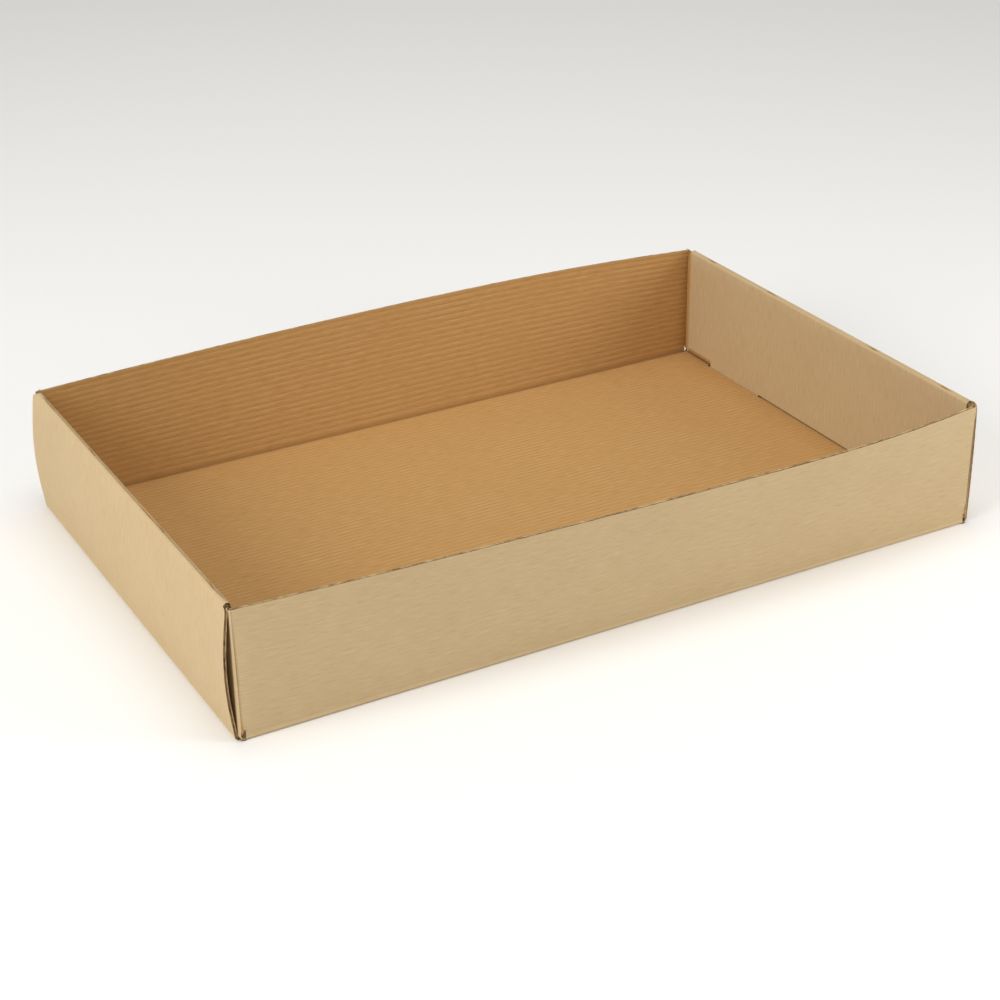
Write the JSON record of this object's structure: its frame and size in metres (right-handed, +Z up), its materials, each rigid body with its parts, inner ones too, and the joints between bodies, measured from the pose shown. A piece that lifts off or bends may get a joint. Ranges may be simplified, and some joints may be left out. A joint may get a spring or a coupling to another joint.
{
  "type": "cardboard tray box",
  "caption": "Open-topped folded corrugated card tray with double roll-over end walls locked through the base, for holding or displaying goods.",
  "frame": {"origin": "middle of the base's underside, between the outer faces of the four walls at the base", "axes": "+X along the long sides, +Y across to the other long side, +Z up through the open top"},
  "size_m": [0.4338, 0.298, 0.071],
  "materials": {
    "kraft_card": "uncoated brown kraft liner, matte"
  },
  "bodies": {
    "root": {"tray": "kraft_card"}
  },
  "joints": []
}
